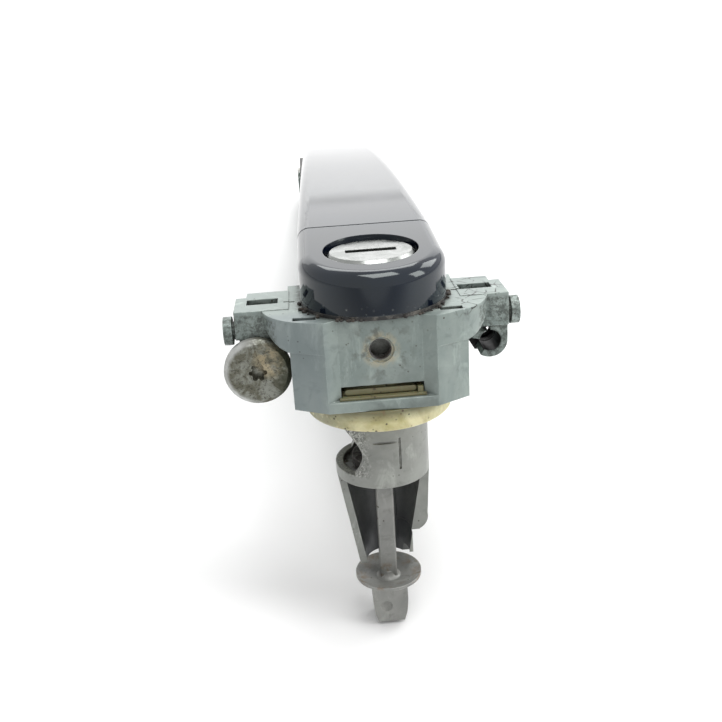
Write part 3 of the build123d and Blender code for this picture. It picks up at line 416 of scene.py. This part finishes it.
def aged_cream():
    """Cream plastic, darkened on top by grease and by painted shade under the block's lip, specked
    with dirt, clean along its lower rim.
    """
    finish = Finish("aged_cream_plastic")
    soft_normal, _ = finish.edges(0.3)
    clouds = finish.patches(0.4, 0.66, 6, 6, 0.65, 0.5)
    body = finish.tint(clouds, (0.70, 0.66, 0.40), (0.45, 0.41, 0.19))
    brown = finish.patches(0.55, 0.68, 3.4, 6, 0.7, 0.6)
    high = finish.beyond("Z", *COLLAR_TOP_Z)
    # The top band under the block's lip is darkened: partly grease, partly painted shade.
    body = finish.stain(body, (0.12, 0.115, 0.055), high, 0.9)
    body = finish.stain(body, (0.16, 0.12, 0.06), finish.both(brown, high))
    greasy = finish.both(
        finish.beyond("X", *COLLAR_LEFT_X),
        finish.patches(0.34, 0.52, 2.6, 5, 0.7),
    )
    body = finish.stain(body, (0.14, 0.145, 0.085), greasy, 0.7)
    specks = finish.window(finish.cells(1.1), 0.28, 0.18)
    specks = finish.both(specks, finish.patches(0.46, 0.56, 3.2))
    finish.colour(finish.tint(specks, body, (0.06, 0.045, 0.025)))
    finish.roughness(clouds, 0.34, 0.6)
    finish.set(subsurface_weight=0.12, subsurface_scale=0.002)
    finish.relief(finish.combine("ADD", specks, finish.both(clouds, 0.5)), 0.06, soft_normal, 0.6)
    return finish


def plated_steel(name, base, dirt, cover=0.5, details=None):
    """Dull zinc plating with a film of road dirt, and painted shade in its corners."""
    finish = Finish(name)
    soft_normal, edge = finish.edges(0.25)
    film = finish.patches(0.62 - 0.3 * cover, 0.78 - 0.3 * cover, 2.6, 6, 0.68, 0.5)
    # The occlusion term adds painted shade in the corners to the dirt film.
    film = finish.combine("ADD", film, finish.corners(1.5))
    worn = finish.both(edge, finish.patches(0.4, 0.6, 1.2))
    body = finish.tint(worn, base, tuple(min(1, 1.8 * c) for c in base))
    specks = finish.window(finish.cells(0.9), 0.16, 0.10)
    specks = finish.both(specks, finish.patches(0.48, 0.6, 2.8))
    body = finish.stain(body, dirt, film)
    body = finish.stain(body, tuple(0.25 * c for c in dirt), specks)
    if details:
        body = details(finish, body)
    finish.colour(body)
    finish.roughness(film, 0.3, 0.72)
    finish.set(metallic=0.55)
    finish.relief(film, 0.05, soft_normal, 0.5)
    return finish


def screw_details(finish, body):
    """Tan patch, dark speckle and a pale worn rim on the clamp screw's head."""
    to_patch = finish.radius_from(SCREW_PATCH_CENTRE, (1, 0, 1))
    patch = finish.within(to_patch, *SCREW_PATCH_RADIUS)
    patch = finish.both(patch, finish.patches(0.36, 0.52, 1.9, 5, 0.6))
    body = finish.stain(body, (0.40, 0.34, 0.22), patch, 0.85)
    speckle = finish.patches(0.52, 0.60, 0.55, 6, 0.8)
    body = finish.stain(body, (0.055, 0.052, 0.042), speckle, 0.8)
    shaded = finish.both(finish.beyond("X", *SCREW_SHADE_X), finish.patches(0.3, 0.46, 1.5, 5, 0.7))
    body = finish.stain(body, (0.055, 0.058, 0.035), shaded, 0.85)
    to_rim = finish.radius_from((-HOOK_X, 0, HOOK_Z), (1, 0, 1))
    rim = finish.both(finish.within(to_rim, *SCREW_RIM_RADIUS), finish.beyond("X", *SCREW_RIM_X))
    return finish.tint(finish.both(rim, 0.7), body, (0.55, 0.56, 0.55))


def bright_face():
    """Lock face: turned and polished, with hairlines round the slot."""
    finish = Finish("bright_lock_face")
    soft_normal, _ = finish.edges(0.15)
    rings = finish.nodes.new("ShaderNodeTexWave")
    rings.wave_type = "RINGS"
    rings.rings_direction = "Z"
    rings.inputs["Scale"].default_value = 900
    finish.join(finish.place, rings.inputs["Vector"])
    smear = finish.patches(0.4, 0.7, 3.5, 5, 0.6, 0.6)
    body = finish.tint(smear, (0.29, 0.30, 0.29), (0.22, 0.23, 0.22))
    # Darker in the face's tight corners: dirt and painted shade.
    corner_dirt_and_shade = finish.both(finish.corners(0.8), 0.8)
    finish.colour(finish.tint(corner_dirt_and_shade, body, (0.03, 0.03, 0.03)))
    finish.roughness(smear, 0.2, 0.38)
    finish.set(metallic=1.0)
    finish.relief(rings.outputs["Fac"], 0.002, soft_normal, 0.3)
    return finish


def black_rubber():
    finish = Finish("black_rubber")
    soft_normal, _ = finish.edges(0.2)
    dust = finish.patches(0.5, 0.72, 2.2, 6, 0.7)
    finish.colour(finish.tint(dust, (0.012, 0.012, 0.012), (0.16, 0.15, 0.13)))
    finish.roughness(dust, 0.55, 0.85)
    finish.relief(finish.noise(0.6), 0.04, soft_normal, 0.5)
    return finish


def spring_wire():
    finish = Finish("spring_wire")
    film = finish.patches(0.45, 0.65, 1.4, 5, 0.7)
    finish.colour(finish.tint(film, (0.30, 0.30, 0.31), (0.10, 0.08, 0.06)))
    finish.roughness(film, 0.28, 0.6)
    finish.set(metallic=0.9)
    finish.relief(film, 0.02)
    return finish


def set_finish(node, finish):
    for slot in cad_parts[node].material_slots:
        slot.material = finish.material


bracket_zinc = cast_zinc(
    "bracket_zinc",
    base=(0.205, 0.248, 0.232),
    pale=(0.290, 0.335, 0.312),
    dark=(0.118, 0.142, 0.138),
    details=bracket_details,
)
barrel_zinc = cast_zinc(
    "barrel_zinc",
    base=(0.205, 0.212, 0.196),
    pale=(0.290, 0.300, 0.277),
    dark=(0.118, 0.118, 0.110),
    metal=0.35,
    details=housing_details,
)
rod_zinc = cast_zinc(
    "rod_zinc",
    base=(0.200, 0.203, 0.192),
    pale=(0.285, 0.288, 0.270),
    dark=(0.112, 0.110, 0.104),
    metal=0.35,
    details=rod_details,
)
inner_zinc = cast_zinc(
    "inner_zinc",
    base=(0.26, 0.27, 0.26),
    pale=(0.36, 0.37, 0.36),
    dark=(0.17, 0.17, 0.17),
    metal=0.4,
)
paint = blue_black_paint()
black_plastic = grained_plastic("black_plastic", (0.014, 0.014, 0.016), (0.045, 0.044, 0.042))
cream = aged_cream()
screw_steel = plated_steel(
    "dirty_screw_steel",
    base=(0.245, 0.255, 0.222),
    dirt=(0.140, 0.138, 0.104),
    cover=0.75,
    details=screw_details,
)
plain_steel = plated_steel("plated_steel", (0.42, 0.42, 0.40), (0.20, 0.18, 0.15), cover=0.3)
dark_steel = plated_steel("dark_steel", (0.10, 0.098, 0.095), (0.05, 0.04, 0.032), cover=0.4)
# Near-black steel for the clamp nuts and the bore ring: dirt on the nuts, and painted shade for the
# deep hook bore.
black_dirt_and_shade_steel = plated_steel("black_dirt_and_shade_steel", (0.008, 0.008, 0.008), (0.006, 0.005, 0.005), cover=0.8)
plug_metal = plated_steel("greasy_plug_metal", (0.11, 0.105, 0.10), (0.035, 0.03, 0.026), cover=0.6)
lock_face = bright_face()
rubber = black_rubber()
wire = spring_wire()
nylon = grained_plastic("natural_nylon", (0.62, 0.52, 0.28), (0.74, 0.66, 0.44))

FINISHES = {
    "bracket": bracket_zinc,
    "lock_cap": paint,
    "grip_shell": paint,
    "grip_liner": black_plastic,
    "grip_screws": plain_steel,
    "pull_stirrup": inner_zinc,
    "hinge_arm": inner_zinc,
    "arm_screws": plain_steel,
    "lock_housing": barrel_zinc,
    "tail_rod": rod_zinc,
    "collar_ring": cream,
    "plug_clip": wire,
    "lock_face": lock_face,
    "lock_plug": plug_metal,
    "clamp_screw": screw_steel,
    "clamp_nuts": black_dirt_and_shade_steel,
    "rear_gasket": rubber,
    "front_gasket": rubber,
    "rest_buffers": rubber,
    "lever_pin": plain_steel,
    "hinge_pin": plain_steel,
    "lever_spring": wire,
    "bell_crank": inner_zinc,
    "counterweight": dark_steel,
    "weight_rivet": plain_steel,
    "rod_clip": nylon,
}
for node, finish in FINISHES.items():
    set_finish(node, finish)


# ---------------------------------------------------------------- dirt, threads and painted shade in the hook's bore
def join_pieces(name, parts, finish):
    """Join the parts to one piece that rides on the carrier."""
    bpy.ops.object.select_all(action="DESELECT")
    for part in parts:
        part.select_set(True)
    bpy.context.view_layer.objects.active = parts[0]
    bpy.ops.object.join()
    piece = bpy.context.object
    piece.name = name
    piece.data.name = name
    piece.data.materials.append(finish.material)
    bpy.ops.object.shade_smooth()
    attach(piece, "carrier")


def road_dirt():
    finish = Finish("road_dirt")
    dust = finish.patches(0.44, 0.66, 0.9, 5, 0.7)
    finish.colour(finish.tint(dust, (0.012, 0.010, 0.009), (0.075, 0.062, 0.048)))
    finish.roughness(dust, 0.7, 0.95)
    finish.relief(finish.noise(0.3), 0.05, None, 0.6)
    return finish


def cap_foot():
    """Places on the rubber seal round the cap's foot, where dirt gathers."""
    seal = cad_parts["rear_gasket"].data.vertices
    return [
        vertex.co.copy()
        for vertex in seal
        if vertex.co.y < FOOT_END_Y * MM
        and vertex.co.z < FOOT_TOP_Z * MM
        and vertex.co.xy.length > FOOT_LEAST_RADIUS * MM
    ]


def make_crumb(spot, pick):
    """One lumpy crumb on the block, kept behind the front of the solids' box."""
    size = pick.uniform(*CRUMB_SIZE) * MM
    bpy.ops.object.select_all(action="DESELECT")
    bpy.ops.mesh.primitive_ico_sphere_add(subdivisions=2, radius=1, location=(0, 0, 0))
    crumb = bpy.context.object
    for vertex in crumb.data.vertices:
        vertex.co *= pick.uniform(*CRUMB_LUMPS)
    turn = Matrix.Rotation(pick.uniform(0, 6.28), 4, "Z")
    shape = Matrix.Diagonal((size, size * pick.uniform(*CRUMB_WIDTH), size * CRUMB_HEIGHT, 1))
    out = 1 + pick.uniform(*CRUMB_SPREAD)
    forward = max(spot.y * out, CAD_BOX[0][1] + CRUMB_ROOM * size)
    place = Matrix.Translation((spot.x * out, forward, CRUMB_LIFT * size))
    crumb.data.transform(place @ turn @ shape)
    return crumb


def make_crumbs():
    """Crumbs of road dirt that lie on the block round the cap's foot."""
    pick = random.Random(11)
    foot = cap_foot()
    crumbs = [make_crumb(pick.choice(foot), pick) for _ in range(CRUMB_COUNT)]
    join_pieces("seam_dirt", crumbs, road_dirt())


def rings_along_y(name, spots, radius, wire_radius, finish):
    """Rings round an axis along Y, joined to one piece."""
    rings = []
    for spot in spots:
        bpy.ops.object.select_all(action="DESELECT")
        bpy.ops.mesh.primitive_torus_add(
            major_radius=radius * MM,
            minor_radius=wire_radius * MM,
            major_segments=48,
            minor_segments=8,
        )
        ring = bpy.context.object
        turn = Matrix.Rotation(radians(90), 4, "X")
        ring.data.transform(Matrix.Translation(Vector(spot) * MM) @ turn)
        rings.append(ring)
    join_pieces(name, rings, finish)


make_crumbs()
thread_spots = [
    (0, THREAD_START_Y + turn * THREAD_PITCH, FRONT_HOLE_Z)
    for turn in range(THREAD_TURNS)
]
rings_along_y("screw_hole_threads", thread_spots, FRONT_HOLE_RADIUS, THREAD_WIRE, dark_steel)
# A dark ring set deep in the right hook's bore, standing in for its shade.
bore_ring_spots = [(HOOK_X, BORE_RING_Y, HOOK_Z)]
rings_along_y("bore_shade_ring", bore_ring_spots, BORE_RING_RADIUS, BORE_RING_WIRE, black_dirt_and_shade_steel)


# ---------------------------------------------------------------- table and light
def plain_white(name, shade):
    finish = Finish(name)
    finish.set(base_color=(shade, shade, shade, 1), roughness=0.9, specular_ior_level=0.1)
    finish.relief(finish.noise(6, 3), 0.05, None, 0.1)
    return finish


def make_table():
    bpy.ops.object.select_all(action="DESELECT")
    bpy.ops.mesh.primitive_plane_add(size=TABLE_SIZE, location=(0, 0, 0))
    table = bpy.context.object
    table.name = "table"
    table.data.transform(Matrix.Translation((0, 0, TIP_Z)) @ Matrix.Rotation(LEAN, 4, "X"))
    table.data.materials.append(plain_white("table_white", TABLE_SHADE).material)


def area_light(name, place, aim, size, power, shape=(1.0, 1.0)):
    lamp = bpy.data.lights.new(name, "AREA")
    lamp.shape = "RECTANGLE"
    lamp.size = size * shape[0]
    lamp.size_y = size * shape[1]
    lamp.energy = power
    holder = bpy.data.objects.new(name, lamp)
    bpy.context.scene.collection.objects.link(holder)
    turn = (Vector(aim) - Vector(place)).to_track_quat("-Z", "Y")
    holder.matrix_world = Matrix.Translation(place) @ turn.to_matrix().to_4x4()
    return holder


def make_world():
    world = bpy.data.worlds.new("studio")
    bpy.context.scene.world = world
    world.use_nodes = True
    nodes = world.node_tree.nodes
    links = world.node_tree.links
    nodes.clear()
    output = nodes.new("ShaderNodeOutputWorld")
    path = nodes.new("ShaderNodeLightPath")
    seen = nodes.new("ShaderNodeMath")
    seen.operation = "MAXIMUM"
    links.new(path.outputs["Is Camera Ray"], seen.inputs[0])
    links.new(path.outputs["Is Glossy Ray"], seen.inputs[1])
    any_seen = nodes.new("ShaderNodeMath")
    any_seen.operation = "MAXIMUM"
    links.new(seen.outputs["Value"], any_seen.inputs[0])
    links.new(path.outputs["Is Transmission Ray"], any_seen.inputs[1])
    soft = nodes.new("ShaderNodeBackground")
    soft.inputs["Color"].default_value = (1, 1, 1, 1)
    soft.inputs["Strength"].default_value = SOFT_SKY
    white = nodes.new("ShaderNodeBackground")
    white.inputs["Color"].default_value = (1, 1, 1, 1)
    white.inputs["Strength"].default_value = WHITE_SKY
    choose = nodes.new("ShaderNodeMixShader")
    links.new(any_seen.outputs["Value"], choose.inputs["Fac"])
    links.new(soft.outputs["Background"], choose.inputs[1])
    links.new(white.outputs["Background"], choose.inputs[2])
    links.new(choose.outputs["Shader"], output.inputs["Surface"])


def make_camera():
    right = Vector((cos(VIEW_YAW), -sin(VIEW_YAW), 0))
    level = cos(VIEW_DOWN)
    ahead = Vector((sin(VIEW_YAW) * level, cos(VIEW_YAW) * level, -sin(VIEW_DOWN)))
    up = right.cross(ahead)
    side = cos(VIEW_ROLL) * right - sin(VIEW_ROLL) * up
    upright = sin(VIEW_ROLL) * right + cos(VIEW_ROLL) * up
    lens = bpy.data.cameras.new("photo_view")
    lens.lens = LENS_MM
    lens.sensor_width = SENSOR_MM
    lens.sensor_fit = "HORIZONTAL"
    lens.clip_start = 0.005
    lens.clip_end = 50
    camera = bpy.data.objects.new("photo_view", lens)
    bpy.context.scene.collection.objects.link(camera)
    turn = Matrix((side, upright, -ahead)).transposed().to_4x4()
    camera.matrix_world = Matrix.Translation(VIEW_FROM) @ turn
    bpy.context.scene.camera = camera


make_table()
make_world()
make_camera()
area_light("top_softbox", place=(0.14, -0.25, 1.15), aim=(0, 0.03, 0), size=0.65, power=9.6)
area_light(
    "back_panel",
    place=(0.0, 1.25, 0.42),
    aim=(0, 0.05, 0.02),
    size=1.6,
    power=3.8,
    shape=(1.0, 0.5),
)
area_light("far_wash", place=(0.0, 0.85, 0.85), aim=(0, 0.95, 0.2), size=0.7, power=6.0)
area_light(
    "side_window",
    place=(0.95, -0.30, 0.45),
    aim=(0, 0, 0),
    size=0.6,
    power=4.2,
    shape=(0.6, 1.0),
)
area_light(
    "shoulder_strip",
    place=(0.75, 0.40, 0.62),
    aim=(0, 0, 0),
    size=0.5,
    power=3.0,
    shape=(1.0, 0.8),
)
bpy.context.scene.view_settings.view_transform = "Standard"
